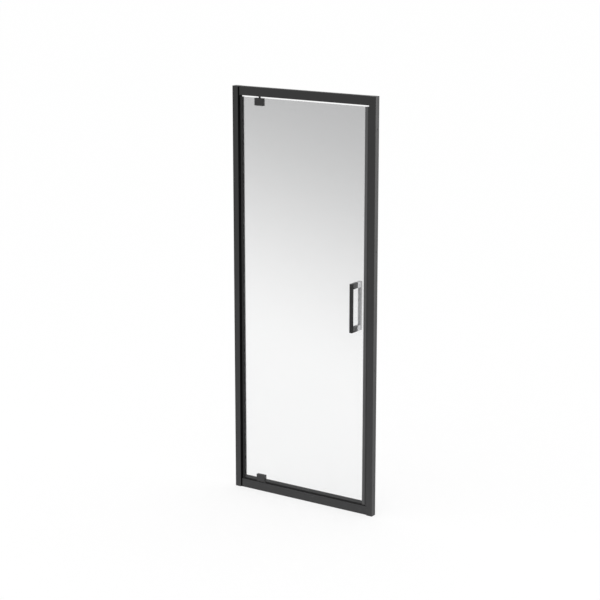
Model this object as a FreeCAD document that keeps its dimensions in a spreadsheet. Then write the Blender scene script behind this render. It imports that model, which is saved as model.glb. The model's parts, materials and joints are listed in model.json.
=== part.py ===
import FreeCAD, Part

import math
import operator
import os
from types import SimpleNamespace

import Sketcher

# Hinged shower door: an aluminium frame fixed between two walls, and a glass leaf on two pivots.
# Millimetres. X runs from the hinge side to the closing side, Y from the outside of the shower to
# its inside, and Z up. The origin is the middle of the sill's underside, below the glass.

SIZES = {
    # whole door
    "door_width": 800,
    "door_height": 2000,
    "frame_depth": 24,
    "frame_side": 37,
    # wall channels
    "channel_width": 31,
    "channel_wall": 1.6,
    "channel_proud": 5,
    "slide_gap": 0.3,
    "wall_hole_radius": 3,
    "wall_hole_end": 150,
    # jambs that slide in the channels
    "jamb_width": 31,
    "jamb_wall": 1.8,
    "rib_width": 3,
    "rib_setback": 2,
    # header and sill
    "header_height": 43,
    "sill_height": 43,
    "rail_wall": 2,
    "port_inset": 5.6,
    "port_radius": 4,
    "port_bore": 1.8,
    "edge_round": 0.8,
    # caps on the tops of the posts
    "cap_thickness": 2,
    "cap_plug": 8,
    # corner screws
    "corner_shank": 1.75,
    "corner_length": 22,
    "corner_head": 3,
    "corner_head_height": 2.2,
    "corner_hole": 2,
    "driver_hole": 4.5,
    # screws that lock each jamb in its channel, and their covers
    "lock_inset": 20,
    "lock_end": 200,
    "lock_shank": 1.9,
    "lock_length": 12,
    "lock_head": 4,
    "lock_head_height": 2.5,
    "lock_pilot": 1.95,
    "lock_clearance": 2.2,
    "cover_radius": 6,
    "cover_height": 3.6,
    "cover_skin": 1,
    # pivots
    "pivot_inset": 110,
    "block_width": 50,
    "block_height": 36,
    "head_gap": 8,
    "foot_gap": 2.5,
    "block_round": 1,
    "plate_thickness": 5,
    "notch_width": 34,
    "notch_depth": 24,
    "core_gap": 1.5,
    "pin_radius": 4.5,
    "pin_collar": 5,
    "pin_reach": 12,
    "pin_chamfer": 1,
    "tail_radius": 2.5,
    "tail_length": 16,
    "seat_gap": 0.02,
    "run_gap": 0.05,
    "thrust_gap": 0.1,
    "end_room": 0.5,
    "bush_radius": 6.5,
    "bush_flange": 8,
    "bush_flange_height": 1.2,
    "insert_length": 46,
    "insert_height": 14,
    "insert_screw_offset": 16,
    "insert_shank": 1.75,
    "insert_screw_length": 12,
    "insert_head": 3.4,
    "insert_head_height": 1.6,
    "clamp_screw_offset": 10,
    "clamp_screw_drop": 12,
    "clamp_shank": 2.5,
    "clamp_bite": 3.5,
    "clamp_head": 4.25,
    "clamp_head_height": 2.4,
    "clamp_hole_gap": 0.25,
    "clamp_socket": 2,
    "clamp_socket_depth": 1.5,
    # leaf
    "glass_thickness": 6,
    "glass_gap": 8,
    "leaf_gap": 4,
    "hinge_gap": 3,
    "gasket": 1,
    "gasket_setback": 1,
    "hinge_edge_width": 11,
    "strike_edge_width": 15,
    "edge_depth": 20,
    "edge_wall": 1.5,
    "edge_web": 2,
    "end_cap": 1.5,
    # seals
    "hinge_seal_gap": 0.6,
    "hinge_seal_width": 4,
    "hinge_seal_round": 1.5,
    "jamb_seal": 4,
    "leaf_seal": 4.1,
    "magnet_air": 0.6,
    "seal_width": 19,
    "seal_skin": 0.6,
    "drip_skirt": 11.5,
    "drip_skin": 1.2,
    "drip_floor": 2,
    "drip_flare": 2.4,
    "drip_lip": 1,
    "drip_gap": 0.5,
    "drip_end_gap": 1.5,
    # handle
    "handle_height": 1010,
    "handle_inset": 70,
    "handle_length": 234,
    "outer_reach": 45,
    "inner_reach": 38,
    "bar_width": 15,
    "bar_thickness": 12,
    "bar_round": 1,
    "post_height": 26,
    "handle_pad": 1,
    "glass_hole": 6,
    "sleeve_wall": 2.6,
    "stud_radius": 3,
    "stud_bite": 12,
    "grub_radius": 2,
    "grub_length": 6,
    "grub_setback": 6,
}
WALL_HOLES = 4
LOCK_SCREWS = 3
KEY_SIDES = 6
HINGE_SIDE = -1
STRIKE_SIDE = 1
SAME_PLACE = 0.001

OPERATIONS = {"+": operator.add, "-": operator.sub, "*": operator.mul, "/": operator.truediv}


class Size:
    """A length held both as a number and as the sheet formula that gives it."""

    def __init__(self, value, formula):
        self.value = value
        self.formula = formula

    def __add__(self, other):
        return combine(self, "+", other)

    def __radd__(self, other):
        return combine(other, "+", self)

    def __sub__(self, other):
        return combine(self, "-", other)

    def __rsub__(self, other):
        return combine(other, "-", self)

    def __mul__(self, other):
        return combine(self, "*", other)

    def __rmul__(self, other):
        return combine(other, "*", self)

    def __truediv__(self, other):
        return combine(self, "/", other)

    def __neg__(self):
        return combine(0, "-", self)


def as_size(number):
    """A plain number as a Size, and a Size as it is."""
    if isinstance(number, Size):
        return number
    return Size(float(number), f"({number})")


def combine(left, sign, right):
    """The sum, difference, product or quotient of two sizes."""
    left = as_size(left)
    right = as_size(right)
    value = OPERATIONS[sign](left.value, right.value)
    return Size(value, f"({left.formula} {sign} {right.formula})")


# Document and sheet of driving sizes

doc = FreeCAD.newDocument("shower_door")
sheet = doc.addObject("Spreadsheet::Sheet", "Sizes")
for row, (alias, number) in enumerate(SIZES.items(), start=1):
    sheet.set(f"A{row}", alias)
    sheet.set(f"B{row}", str(number))
    sheet.setAlias(f"B{row}", alias)
doc.recompute()
size = SimpleNamespace(**{alias: Size(float(sheet.get(alias)), f"Sizes.{alias}") for alias in SIZES})

# Places that follow from the sizes

ZERO = as_size(0)
half_width = size.door_width / 2
half_opening = half_width - size.frame_side
frame_back = size.frame_depth / 2
frame_front = -frame_back
channel_front = frame_front - size.channel_proud
channel_back = frame_back + size.slide_gap + size.channel_wall
post_top = size.door_height - size.cap_thickness
header_bottom = size.door_height - size.header_height
sill_top = size.sill_height
port_y = frame_back - size.port_inset
rail_length = 2 * half_opening
pivot_x = size.pivot_inset - half_opening
block_bottom = sill_top + size.foot_gap
block_top = header_bottom - size.head_gap
glass_half = size.glass_thickness / 2
clamp_half = glass_half + size.gasket
leaf_left = size.hinge_gap - half_opening
leaf_right = half_opening - size.jamb_seal - size.magnet_air - size.leaf_seal
glass_inset = size.edge_web + size.gasket
glass_left = leaf_left + glass_inset
glass_right = leaf_right - glass_inset
glass_bottom = sill_top + size.glass_gap
glass_top = header_bottom - size.glass_gap
glass_height = glass_top - glass_bottom
leaf_bottom = sill_top + size.leaf_gap
profile_bottom = leaf_bottom + size.end_cap
profile_height = glass_top - size.end_cap - profile_bottom
edge_half = size.edge_depth / 2
handle_x = half_opening - size.handle_inset
handle_centres = size.handle_length - size.post_height
post_foot = glass_half + size.handle_pad

TURN_OVER = FreeCAD.Rotation(FreeCAD.Vector(0, 1, 0), 180)
TURN_ROUND = FreeCAD.Rotation(FreeCAD.Vector(0, 0, 1), 180)
POINT_RIGHT = FreeCAD.Rotation(FreeCAD.Vector(0, 1, 0), 90)
POINT_LEFT = FreeCAD.Rotation(FreeCAD.Vector(0, 1, 0), -90)
POINT_OUT = FreeCAD.Rotation(FreeCAD.Vector(1, 0, 0), 90)
UPRIGHT = FreeCAD.Rotation()

nodes = []

# Drawing


def new_body(label, is_node=True):
    """An empty body. A template for copies is no node of its own."""
    body = doc.addObject("PartDesign::Body", label)
    body.Label = label
    if is_node:
        nodes.append(body)
    return body


def put(thing, x=ZERO, y=ZERO, z=ZERO, turn=UPRIGHT):
    """Sets a piece's place, each coordinate tied to the sheet."""
    places = {"x": x, "y": y, "z": z}
    base = FreeCAD.Vector(*(as_size(place).value for place in places.values()))
    thing.Placement = FreeCAD.Placement(base, turn)
    for axis, place in places.items():
        thing.setExpression(f"Placement.Base.{axis}", as_size(place).formula)


def origin_feature(body, role):
    """The body's own origin plane or axis of that role."""
    return next(f for f in body.Origin.OriginFeatures if f.Role == role)


def draw(body, plane, offset=ZERO):
    """A sketch on one of the body's origin planes, moved along that plane's normal."""
    sketch = body.newObject("Sketcher::SketchObject", f"{body.Label}_sketch")
    sketch.AttachmentSupport = (origin_feature(body, plane), [""])
    sketch.MapMode = "FlatFace"
    sketch.setExpression("AttachmentOffset.Base.z", as_size(offset).formula)
    return sketch


def hold(sketch, edge, end, x, y):
    """Holds a point of an edge at its distances from the sketch's origin."""
    for kind, distance in (("DistanceX", x), ("DistanceY", y)):
        distance = as_size(distance)
        index = sketch.addConstraint(Sketcher.Constraint(kind, -1, 1, edge, end, distance.value))
        sketch.setExpression(f"Constraints[{index}]", distance.formula)


def point(corner):
    """A corner's place on the sketch."""
    return FreeCAD.Vector(as_size(corner[0]).value, as_size(corner[1]).value, 0)


def loop(sketch, corners):
    """A closed loop of straight edges through the corners."""
    first = sketch.GeometryCount
    count = len(corners)
    for index in range(count):
        ends = corners[index], corners[(index + 1) % count]
        sketch.addGeometry(Part.LineSegment(*map(point, ends)), False)
    for index in range(count):
        after = first + (index + 1) % count
        sketch.addConstraint(Sketcher.Constraint("Coincident", first + index, 2, after, 1))
    for index, corner in enumerate(corners):
        hold(sketch, first + index, 1, *corner)


def box_loop(sketch, x1, y1, x2, y2):
    """A rectangle between two opposite corners."""
    loop(sketch, [(x1, y1), (x2, y1), (x2, y2), (x1, y2)])


def ring(sketch, x, y, radius):
    """A circle."""
    edge = sketch.addGeometry(Part.Circle(point((x, y)), FreeCAD.Vector(0, 0, 1), radius.value), False)
    hold(sketch, edge, 3, x, y)
    index = sketch.addConstraint(Sketcher.Constraint("Radius", edge, radius.value))
    sketch.setExpression(f"Constraints[{index}]", radius.formula)


def tongue(sketch, x, top, tip, radius, way):
    """A strip with a half-round tip, from top to tip. way is -1 where the tip is below, else 1."""
    centre = tip - way * radius
    left = x - radius
    right = x + radius
    start, end = (math.pi, 2 * math.pi) if way < 0 else (0, math.pi)
    circle = Part.Circle(point((x, centre)), FreeCAD.Vector(0, 0, 1), radius.value)
    first, last = (left, right) if way < 0 else (right, left)
    down = sketch.addGeometry(Part.LineSegment(point((first, top)), point((first, centre))), False)
    arc = sketch.addGeometry(Part.ArcOfCircle(circle, start, end), False)
    back = sketch.addGeometry(Part.LineSegment(point((last, centre)), point((last, top))), False)
    shut = sketch.addGeometry(Part.LineSegment(point((last, top)), point((first, top))), False)
    for here, there in ((down, arc), (arc, back), (back, shut), (shut, down)):
        sketch.addConstraint(Sketcher.Constraint("Coincident", here, 2, there, 1))
    hold(sketch, down, 1, first, top)
    hold(sketch, back, 1, last, centre)
    hold(sketch, shut, 1, last, top)
    hold(sketch, arc, 3, x, centre)
    index = sketch.addConstraint(Sketcher.Constraint("DistanceY", -1, 1, down, 2, centre.value))
    sketch.setExpression(f"Constraints[{index}]", centre.formula)


# Features


def tie(feature, prop, length):
    """Binds a feature's property to the sheet."""
    length = as_size(length)
    setattr(feature, prop, length.value)
    feature.setExpression(prop, length.formula)


def pad(body, sketch, length, both_ways=False, reverse=False):
    """Adds material from the sketch: on XY upwards, on XZ to -Y and on YZ to +X."""
    feature = body.newObject("PartDesign::Pad", f"{body.Label}_pad")
    feature.Profile = sketch
    feature.SideType = "Symmetric" if both_ways else "One side"
    feature.Reversed = reverse
    tie(feature, "Length", length)
    doc.recompute()
    return feature


def cut(body, sketch, depth, both_ways=False, reverse=False):
    """Takes material away: on XY downwards, on XZ to +Y and on YZ to -X."""
    before = body.Shape.Volume
    feature = body.newObject("PartDesign::Pocket", f"{body.Label}_cut")
    feature.Profile = sketch
    feature.SideType = "Symmetric" if both_ways else "One side"
    feature.Reversed = reverse
    tie(feature, "Length", depth)
    doc.recompute()
    if not body.Shape.Volume < before:
        raise RuntimeError(f"{body.Label}: a cut took nothing away")
    return feature


def repeat_up(body, feature, height, count):
    """Repeats a feature evenly up the given height."""
    pattern = body.newObject("PartDesign::LinearPattern", f"{body.Label}_row")
    pattern.Originals = [feature]
    pattern.Direction = (origin_feature(body, "Z_Axis"), [""])
    pattern.Occurrences = count
    tie(pattern, "Length", height)
    body.Tip = pattern
    doc.recompute()


def spin(body, corners):
    """A turned piece: the outline (radius, height) goes round the Z axis."""
    sketch = draw(body, "XZ_Plane")
    loop(sketch, corners)
    feature = body.newObject("PartDesign::Revolution", f"{body.Label}_turned")
    feature.Profile = sketch
    feature.ReferenceAxis = (origin_feature(body, "Z_Axis"), [""])
    feature.Angle = 360
    doc.recompute()


def round_edges(body, radius, lines):
    """Rounds every edge whose ends all lie on one of the lines, each a dict of axis to place."""
    tip = body.Tip

    def lies_on(edge, line):
        ends = [vertex.Point for vertex in edge.Vertexes]
        gaps = [abs(getattr(end, axis) - place.value) for end in ends for axis, place in line.items()]
        return max(gaps) < SAME_PLACE

    names = [
        f"Edge{number}"
        for number, edge in enumerate(tip.Shape.Edges, start=1)
        if any(lies_on(edge, line) for line in lines)
    ]
    feature = body.newObject("PartDesign::Fillet", f"{body.Label}_round")
    feature.Base = (tip, names)
    tie(feature, "Radius", radius)
    doc.recompute()


def copies(label, template, places):
    """One node of equal separate pieces. Each place is x, y, z and a turn."""
    links = []
    for x, y, z, turn in places:
        link = doc.addObject("App::Link", f"{label}_copy")
        link.LinkedObject = template
        put(link, x, y, z, turn)
        links.append(link)
    group = doc.addObject("Part::Compound", label)
    group.Label = label
    group.Links = links
    nodes.append(group)
    doc.recompute()


# Frame


def wall_channel(label, side):
    """U channel screwed to the wall, open towards the doorway."""
    body = new_body(label)
    wall = side * half_width
    web = side * (half_width - size.channel_wall)
    lip = side * (half_width - size.channel_width)
    inner_front = channel_front + size.channel_wall
    inner_back = channel_back - size.channel_wall
    section = draw(body, "XY_Plane")
    outside = [(lip, channel_back), (wall, channel_back), (wall, channel_front), (lip, channel_front)]
    inside = [(lip, inner_front), (web, inner_front), (web, inner_back), (lip, inner_back)]
    loop(section, outside + inside)
    pad(body, section, post_top)
    corners = [{"x": x, "y": y} for x in (wall, lip) for y in (channel_front, channel_back)]
    round_edges(body, size.edge_round, corners)

    holes = draw(body, "YZ_Plane")
    ring(holes, (channel_front + channel_back) / 2, size.wall_hole_end, size.wall_hole_radius)
    hole = cut(body, holes, size.door_width + size.channel_wall, both_ways=True)
    repeat_up(body, hole, size.door_height - 2 * size.wall_hole_end, WALL_HOLES)

    screw_holes = draw(body, "XZ_Plane")
    ring(screw_holes, side * (half_width - size.lock_inset), size.lock_end, size.lock_clearance)
    hole = cut(body, screw_holes, channel_back)
    repeat_up(body, hole, size.door_height - 2 * size.lock_end, LOCK_SCREWS)


def jamb(label, side):
    """Hollow post that slides in the channel on two ribs and carries the header and the sill."""
    body = new_body(label)
    inner = side * half_opening
    outer = side * (half_opening + size.jamb_width)
    rib_tip = channel_front + size.channel_wall + size.slide_gap
    lip_rib = half_width - size.channel_width + size.rib_setback
    near = side * lip_rib
    far = side * (lip_rib + size.rib_width)
    last = outer - side * size.rib_width
    section = draw(body, "XY_Plane")
    lip_side = [(inner, frame_front), (near, frame_front), (near, rib_tip), (far, rib_tip)]
    wall_side = [(far, frame_front), (last, frame_front), (last, rib_tip), (outer, rib_tip)]
    loop(section, lip_side + wall_side + [(outer, frame_back), (inner, frame_back)])
    hollow_front = frame_front + size.jamb_wall
    hollow_back = frame_back - size.jamb_wall
    thickness = side * size.jamb_wall
    box_loop(section, inner + thickness, hollow_front, outer - thickness, hollow_back)
    pad(body, section, post_top)

    middle = half_opening + size.jamb_width / 2
    heights = (sill_top / 2, header_bottom + size.header_height / 2)
    for radius, start, depth in (
        (size.corner_hole, ZERO, middle),
        (size.driver_hole, side * middle, size.jamb_width),
    ):
        holes = draw(body, "YZ_Plane", start)
        for height in heights:
            ring(holes, -port_y, height, radius)
            ring(holes, port_y, height, radius)
        cut(body, holes, depth, reverse=side == STRIKE_SIDE)

    pilots = draw(body, "XZ_Plane")
    ring(pilots, side * (half_width - size.lock_inset), size.lock_end, size.lock_pilot)
    pilot = cut(body, pilots, frame_back)
    repeat_up(body, pilot, size.door_height - 2 * size.lock_end, LOCK_SCREWS)


def rail(label, height, z, turn, way):
    """Hollow rail between the jambs. Its local z = 0 is the face towards the leaf."""
    body = new_body(label)
    section = draw(body, "YZ_Plane")
    wall = size.rail_wall
    box_loop(section, frame_front, ZERO, frame_back, height)
    box_loop(section, frame_front + wall, wall, frame_back - wall, height - wall)
    pad(body, section, rail_length, both_ways=True)
    edges = [{"y": y, "z": face} for y in (frame_front, frame_back) for face in (ZERO, height)]
    round_edges(body, size.edge_round, edges)

    ports = draw(body, "YZ_Plane")
    bores = draw(body, "YZ_Plane")
    for y in (-port_y, port_y):
        ring(ports, y, height / 2, size.port_radius)
        ring(bores, y, height / 2, size.port_bore)
    pad(body, ports, rail_length, both_ways=True)
    cut(body, bores, rail_length, both_ways=True)

    axis = way * pivot_x
    holes = draw(body, "XY_Plane")
    ring(holes, axis, ZERO, size.bush_radius + size.seat_gap)
    for offset in (-size.insert_screw_offset, size.insert_screw_offset):
        ring(holes, axis + offset, ZERO, size.insert_shank + size.run_gap)
    cut(body, holes, wall, reverse=True)
    put(body, z=z, turn=turn)


def top_cap(label, side):
    """Plastic cap over the top of a channel and its jamb, plugged into the jamb."""
    body = new_body(label)
    plate = draw(body, "XY_Plane")
    box_loop(plate, side * half_opening, channel_front, side * half_width, channel_back)
    pad(body, plate, size.cap_thickness)
    plug = draw(body, "XY_Plane")
    inset = size.jamb_wall + size.slide_gap
    inner = side * (half_opening + inset)
    outer = side * (half_opening + size.jamb_width - inset)
    box_loop(plug, inner, frame_front + inset, outer, frame_back - inset)
    pad(body, plug, size.cap_plug, reverse=True)
    put(body, z=post_top)


def pan_screw(label, shank, length, head, head_height):
    """Round-headed screw along +Z with the underside of its head at z = 0, for copies."""
    body = new_body(label, is_node=False)
    crown = head / 2
    brim = -head_height / 2
    tip = length - shank
    outline = [(ZERO, -head_height), (crown, -head_height), (head, brim), (head, ZERO)]
    spin(body, outline + [(shank, ZERO), (shank, tip), (ZERO, length)])
    return body


def corner_screws():
    """Screws through each jamb into the ports of the header and the sill."""
    screw = pan_screw(
        "corner_screw", size.corner_shank, size.corner_length, size.corner_head, size.corner_head_height
    )
    seat = half_opening + size.jamb_wall
    heights = (sill_top / 2, header_bottom + size.header_height / 2)
    sides = ((-seat, POINT_RIGHT), (seat, POINT_LEFT))
    places = [(x, y, z, turn) for x, turn in sides for y in (-port_y, port_y) for z in heights]
    copies("corner_screws", screw, places)


def lock_screws():
    """Screws through the inner flange of each channel into the jamb, each under a round cover."""
    screw = pan_screw(
        "lock_screw", size.lock_shank, size.lock_length, size.lock_head, size.lock_head_height
    )
    cover = new_body("lock_screw_cover", is_node=False)
    hollow = size.cover_radius - size.cover_skin
    depth = size.cover_height - size.cover_skin
    top = [(ZERO, -size.cover_height), (hollow, -size.cover_height), (size.cover_radius, -depth)]
    spin(cover, top + [(size.cover_radius, ZERO), (hollow, ZERO), (hollow, -depth), (ZERO, -depth)])
    step = (size.door_height - 2 * size.lock_end) / (LOCK_SCREWS - 1)
    across = half_width - size.lock_inset
    rows = [size.lock_end + number * step for number in range(LOCK_SCREWS)]
    places = [(x, channel_back, z, POINT_OUT) for x in (-across, across) for z in rows]
    copies("lock_screws", screw, places)
    copies("lock_screw_covers", cover, places)


def pivot_insert(label, z, turn):
    """Block inside a rail that carries the pivot bush. Its local z = 0 is the rail's face."""
    body = new_body(label)
    plan = draw(body, "XY_Plane", size.rail_wall)
    half_length = size.insert_length / 2
    half_depth = frame_back - size.rail_wall - size.slide_gap
    box_loop(plan, -half_length, -half_depth, half_length, half_depth)
    ring(plan, ZERO, ZERO, size.bush_radius + size.seat_gap)
    for offset in (-size.insert_screw_offset, size.insert_screw_offset):
        ring(plan, offset, ZERO, size.insert_shank + size.seat_gap)
    pad(body, plan, size.insert_height)
    put(body, x=pivot_x, z=z, turn=turn)


def pivot_bush(label, z, turn):
    """Flanged bush in a rail. Its local z = 0 is the rail's face, and its flange is outside."""
    body = new_body(label)
    bore = size.pin_radius + size.run_gap
    depth = size.rail_wall + size.insert_height
    flange = [(bore, -size.bush_flange_height), (size.bush_flange, -size.bush_flange_height)]
    barrel = [(size.bush_flange, ZERO), (size.bush_radius, ZERO), (size.bush_radius, depth), (bore, depth)]
    spin(body, flange + barrel)
    put(body, x=pivot_x, z=z, turn=turn)


def insert_screws():
    """Screws through the faces of the rails into the pivot inserts."""
    shank, length = size.insert_shank, size.insert_screw_length
    screw = pan_screw("insert_screw", shank, length, size.insert_head, size.insert_head_height)
    faces = ((header_bottom, UPRIGHT), (sill_top, TURN_OVER))
    offsets = (-size.insert_screw_offset, size.insert_screw_offset)
    copies("insert_screws", screw, [(pivot_x + x, ZERO, z, turn) for z, turn in faces for x in offsets])


def magnet_strip(seal_label, magnet_label, start, thickness, z, length):
    """Hollow seal strip with a magnet inside, between start and start + thickness along X."""
    half = size.seal_width / 2
    skin = size.seal_skin
    seal = new_body(seal_label)
    section = draw(seal, "XY_Plane")
    box_loop(section, start, -half, start + thickness, half)
    box_loop(section, start + skin, skin - half, start + thickness - skin, half - skin)
    pad(seal, section, length)
    put(seal, z=z)
    magnet = new_body(magnet_label)
    inset = skin + size.seat_gap
    core = draw(magnet, "XY_Plane")
    box_loop(core, start + inset, inset - half, start + thickness - inset, half - inset)
    pad(magnet, core, length)
    put(magnet, z=z)


# Leaf


def glass_panel():
    """Glass sheet with a round-ended notch for each pivot and two holes for the handle."""
    body = new_body("glass_panel")
    outline = draw(body, "XZ_Plane")
    box_loop(outline, glass_left, glass_bottom, glass_right, glass_top)
    pad(body, outline, size.glass_thickness, both_ways=True)
    openings = draw(body, "XZ_Plane")
    radius = size.notch_width / 2
    tongue(openings, pivot_x, header_bottom, glass_top - size.notch_depth, radius, -1)
    tongue(openings, pivot_x, sill_top, glass_bottom + size.notch_depth, radius, 1)
    for offset in (-handle_centres / 2, handle_centres / 2):
        ring(openings, handle_x, size.handle_height + offset, size.glass_hole)
    cut(body, openings, size.glass_thickness, both_ways=True)


def edge_profile_corners(side, width):
    """Outline of an edge profile, a U that holds the glass, with its web at local x = 0."""
    mouth = -side * width
    web = -side * size.edge_web
    outside = [(mouth, edge_half), (ZERO, edge_half), (ZERO, -edge_half), (mouth, -edge_half)]
    inside = [(mouth, -clamp_half), (web, -clamp_half), (web, clamp_half), (mouth, clamp_half)]
    return outside + inside


def edge_profile(label, side, x, width):
    """Aluminium profile on an upright edge of the glass, with a hollow chamber in each flange."""
    body = new_body(label)
    section = draw(body, "XY_Plane")
    loop(section, edge_profile_corners(side, width))
    near = clamp_half + size.edge_wall
    far = edge_half - size.edge_wall
    first = -side * size.edge_wall
    last = -side * (width - size.edge_wall)
    box_loop(section, first, near, last, far)
    box_loop(section, first, -far, last, -near)
    pad(body, section, profile_height)
    mouth = -side * width
    corners = [{"x": edge, "y": y} for edge in (ZERO, mouth) for y in (-edge_half, edge_half)]
    round_edges(body, size.edge_round, corners)
    put(body, x=x, z=profile_bottom)


def glazing_gasket(label, side, x, width):
    """U gasket between the glass and an edge profile."""
    body = new_body(label)
    section = draw(body, "XY_Plane")
    mouth = -side * width
    web = -side * size.edge_web
    glass_edge = -side * glass_inset
    outside = [(mouth, clamp_half), (web, clamp_half), (web, -clamp_half), (mouth, -clamp_half)]
    groove = [(glass_edge, -glass_half), (glass_edge, glass_half)]
    loop(section, outside + [(mouth, -glass_half)] + groove + [(mouth, glass_half)])
    pad(body, section, glass_height)
    put(body, x=x, z=glass_bottom)


def end_caps(prefix, side, x, width):
    """Plastic caps that close both ends of an edge profile."""
    cap = new_body(f"{prefix}_end_cap", is_node=False)
    section = draw(cap, "XY_Plane")
    loop(section, edge_profile_corners(side, width))
    pad(cap, section, size.end_cap)
    heights = (leaf_bottom, glass_top - size.end_cap)
    copies(f"{prefix}_end_caps", cap, [(x, ZERO, z, UPRIGHT) for z in heights])


def hinge_side_seal():
    """Soft strip on the hinge edge profile that nearly reaches the jamb."""
    body = new_body("hinge_side_seal")
    section = draw(body, "XY_Plane")
    nose = size.hinge_seal_gap - half_opening
    half = size.hinge_seal_width / 2
    box_loop(section, nose, -half, leaf_left, half)
    pad(body, section, profile_height)
    round_edges(body, size.hinge_seal_round, [{"x": nose, "y": -half}, {"x": nose, "y": half}])
    put(body, z=profile_bottom)


def drip_seal(label, start, end):
    """Seal along the glass's lower edge: a skirt each side of the glass and two flared lips."""
    body = new_body(label)
    section = draw(body, "YZ_Plane")
    skirt = glass_half + size.drip_skin
    top = glass_bottom + size.drip_skirt
    floor = glass_bottom - size.drip_floor
    root = floor + size.drip_lip
    foot = sill_top + size.drip_gap
    tip = skirt + size.drip_flare
    heel = tip - size.drip_lip
    outer = [(-skirt, root), (-skirt, top), (-glass_half, top), (-glass_half, glass_bottom)]
    inner = [(glass_half, glass_bottom), (glass_half, top), (skirt, top), (skirt, root)]
    inner_lip = [(tip, foot), (heel, foot), (glass_half, floor)]
    outer_lip = [(-glass_half, floor), (-heel, foot), (-tip, foot)]
    loop(section, outer + inner + inner_lip + outer_lip)
    pad(body, section, end - start)
    put(body, x=start)


# Pivots on the leaf. Their local z = 0 is the block's face towards the rail, with the leaf below,
# and gap is how far that face stands off the rail.


def outer_plate(label, gap, z, turn):
    """Outer clamp plate with the core that fills the notch and holds the pin."""
    body = new_body(label)
    half = size.block_width / 2
    face = -(clamp_half + size.plate_thickness)
    plate = draw(body, "XZ_Plane", clamp_half)
    box_loop(plate, -half, -size.block_height, half, ZERO)
    pad(body, plate, size.plate_thickness)
    round_edges(body, size.block_round, [{"y": face}])
    core = draw(body, "XZ_Plane")
    tip = gap - size.glass_gap + size.core_gap - size.notch_depth
    tongue(core, ZERO, ZERO, tip, size.notch_width / 2 - size.core_gap, -1)
    pad(body, core, 2 * clamp_half, both_ways=True)
    socket = draw(body, "XY_Plane")
    ring(socket, ZERO, ZERO, size.tail_radius + size.seat_gap)
    cut(body, socket, size.tail_length + size.end_room)
    threads = draw(body, "XZ_Plane", -clamp_half)
    for x in (-size.clamp_screw_offset, size.clamp_screw_offset):
        ring(threads, x, -size.clamp_screw_drop, size.clamp_shank + size.seat_gap)
    cut(body, threads, 2 * clamp_half + size.clamp_bite + size.end_room, reverse=True)
    put(body, x=pivot_x, z=z, turn=turn)


def inner_plate(label, z, turn):
    """Inner clamp plate with two counterbored screw holes."""
    body = new_body(label)
    half = size.block_width / 2
    face = clamp_half + size.plate_thickness
    plate = draw(body, "XZ_Plane", -clamp_half)
    box_loop(plate, -half, -size.block_height, half, ZERO)
    pad(body, plate, size.plate_thickness, reverse=True)
    round_edges(body, size.block_round, [{"y": face}])
    seat = size.plate_thickness - size.clamp_head_height
    for radius, start, depth in (
        (size.clamp_shank, clamp_half, size.plate_thickness),
        (size.clamp_head, clamp_half + seat, size.clamp_head_height),
    ):
        holes = draw(body, "XZ_Plane", -start)
        for x in (-size.clamp_screw_offset, size.clamp_screw_offset):
            ring(holes, x, -size.clamp_screw_drop, radius + size.clamp_hole_gap)
        cut(body, holes, depth)
    put(body, x=pivot_x, z=z, turn=turn)


def clamp_gaskets(label, gap, z, turn):
    """Soft pads between the clamp plates and the glass, cut out round the notch."""
    pad_body = new_body(f"{label}_pad", is_node=False)
    half = size.block_width / 2 - size.gasket_setback
    glass_edge = gap - size.glass_gap
    outline = draw(pad_body, "XZ_Plane")
    box_loop(outline, -half, size.gasket_setback - size.block_height, half, glass_edge)
    pad(pad_body, outline, size.gasket)
    notch = draw(pad_body, "XZ_Plane")
    tongue(notch, ZERO, gap, glass_edge - size.notch_depth, size.notch_width / 2, -1)
    cut(pad_body, notch, size.gasket, reverse=True)
    copies(label, pad_body, [(pivot_x, y, z, turn) for y in (-glass_half, clamp_half)])


def pivot_pin(label, gap, z, turn):
    """Stepped pin: a tail in the core, a collar that carries the leaf, and a journal in the bush."""
    body = new_body(label)
    collar_top = gap - size.bush_flange_height - size.thrust_gap
    end = gap + size.pin_reach
    nose = size.pin_radius - size.pin_chamfer
    tail = [(ZERO, -size.tail_length), (size.tail_radius, -size.tail_length), (size.tail_radius, ZERO)]
    collar = [(size.pin_collar, ZERO), (size.pin_collar, collar_top), (size.pin_radius, collar_top)]
    journal = [(size.pin_radius, end - size.pin_chamfer), (nose, end), (ZERO, end)]
    spin(body, tail + collar + journal)
    put(body, x=pivot_x, z=z, turn=turn)


def socket_screw():
    """Socket-head screw along +Z with the underside of its head at z = 0, for copies."""
    body = new_body("clamp_screw", is_node=False)
    head_top = -size.clamp_head_height
    shank = size.clamp_shank
    length = size.plate_thickness - size.clamp_head_height + 2 * clamp_half + size.clamp_bite
    head = [(ZERO, head_top), (size.clamp_head, head_top), (size.clamp_head, ZERO), (shank, ZERO)]
    spin(body, head + [(shank, length - shank / 2), (shank / 2, length), (ZERO, length)])
    socket = draw(body, "XY_Plane", head_top)
    turns = [2 * math.pi * number / KEY_SIDES for number in range(KEY_SIDES)]
    loop(socket, [(size.clamp_socket * math.cos(t), size.clamp_socket * math.sin(t)) for t in turns])
    cut(body, socket, size.clamp_socket_depth, reverse=True)
    return body


def pivot_set(prefix, gap, z, turn, way, screw):
    """All that the leaf carries at one pivot. way is 1 at the top and -1 at the bottom."""
    outer_plate(f"{prefix}_outer_plate", gap, z, turn)
    inner_plate(f"{prefix}_inner_plate", z, turn)
    clamp_gaskets(f"{prefix}_gaskets", gap, z, turn)
    pivot_pin(f"{prefix}_pin", gap, z, turn)
    head_seat = clamp_half + size.plate_thickness - size.clamp_head_height
    height = z - way * size.clamp_screw_drop
    offsets = (-size.clamp_screw_offset, size.clamp_screw_offset)
    copies(f"{prefix}_screws", screw, [(pivot_x + x, head_seat, height, POINT_OUT) for x in offsets])


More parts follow.
